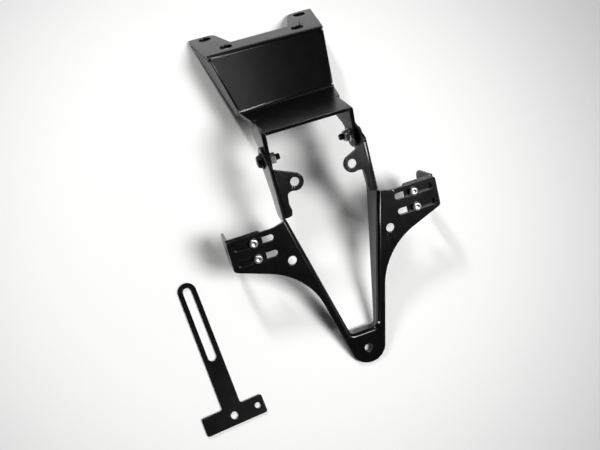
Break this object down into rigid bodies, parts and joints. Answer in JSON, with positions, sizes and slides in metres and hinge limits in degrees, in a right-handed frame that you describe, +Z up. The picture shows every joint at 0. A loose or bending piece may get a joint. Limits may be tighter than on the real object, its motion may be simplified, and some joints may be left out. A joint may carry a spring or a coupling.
{
  "type": "tail tidy",
  "caption": "Folded sheet number-plate carrier for a motorcycle tail, with hinged plate holder, sliding indicator brackets and a loose slotted reflector bracket.",
  "frame": {"origin": "middle of the whole kit's footprint on the table it rests on, both pieces counted", "axes": "+Y from the plate holder's foot to the tail flange, +X to the viewer's right of the plate holder's face, +Z up from the table; the holder leans 25.1 degrees"},
  "size_m": [0.2154, 0.3026, 0.0744],
  "materials": {
    "black_powder_coat": "satin black powder coat",
    "black_oxide_steel": "black oxide, lightly oiled",
    "zinc_plated_steel": "bright zinc plate",
    "stainless_steel": "turned stainless steel"
  },
  "bodies": {
    "tail": {"tail_bracket": "black_powder_coat", "reflector_bracket": "black_powder_coat", "pivot_bolt_left": "black_oxide_steel", "pivot_bolt_right": "black_oxide_steel", "pivot_nut_left": "zinc_plated_steel", "pivot_nut_right": "zinc_plated_steel", "pivot_washer_left": "black_oxide_steel", "pivot_washer_right": "black_oxide_steel"},
    "holder": {"plate_holder": "black_powder_coat"},
    "indicator_right": {"indicator_bracket_right": "black_powder_coat", "indicator_nut_right_lower": "stainless_steel", "indicator_nut_right_upper": "stainless_steel", "indicator_screw_right_lower": "stainless_steel", "indicator_screw_right_upper": "stainless_steel", "indicator_washer_right_lower": "stainless_steel", "indicator_washer_right_upper": "stainless_steel"},
    "indicator_left": {"indicator_bracket_left": "black_powder_coat", "indicator_nut_left_lower": "stainless_steel", "indicator_nut_left_upper": "stainless_steel", "indicator_screw_left_lower": "stainless_steel", "indicator_screw_left_upper": "stainless_steel", "indicator_washer_left_lower": "stainless_steel", "indicator_washer_left_upper": "stainless_steel"}
  },
  "joints": [
    {"name": "holder_tilt", "type": "hinge", "parent": "tail", "child": "holder", "pos_m": [0.02728, 0.02124, 0.05201], "axis": [1, 0, 0], "range_deg": [-30, 30]},
    {"name": "indicator_right_slide", "type": "slide", "parent": "holder", "child": "indicator_right", "axis": [1, 0, 0], "range_m": [-0.012, 0.012]},
    {"name": "indicator_left_slide", "type": "slide", "parent": "holder", "child": "indicator_left", "axis": [1, 0, 0], "range_m": [-0.012, 0.012]}
  ]
}
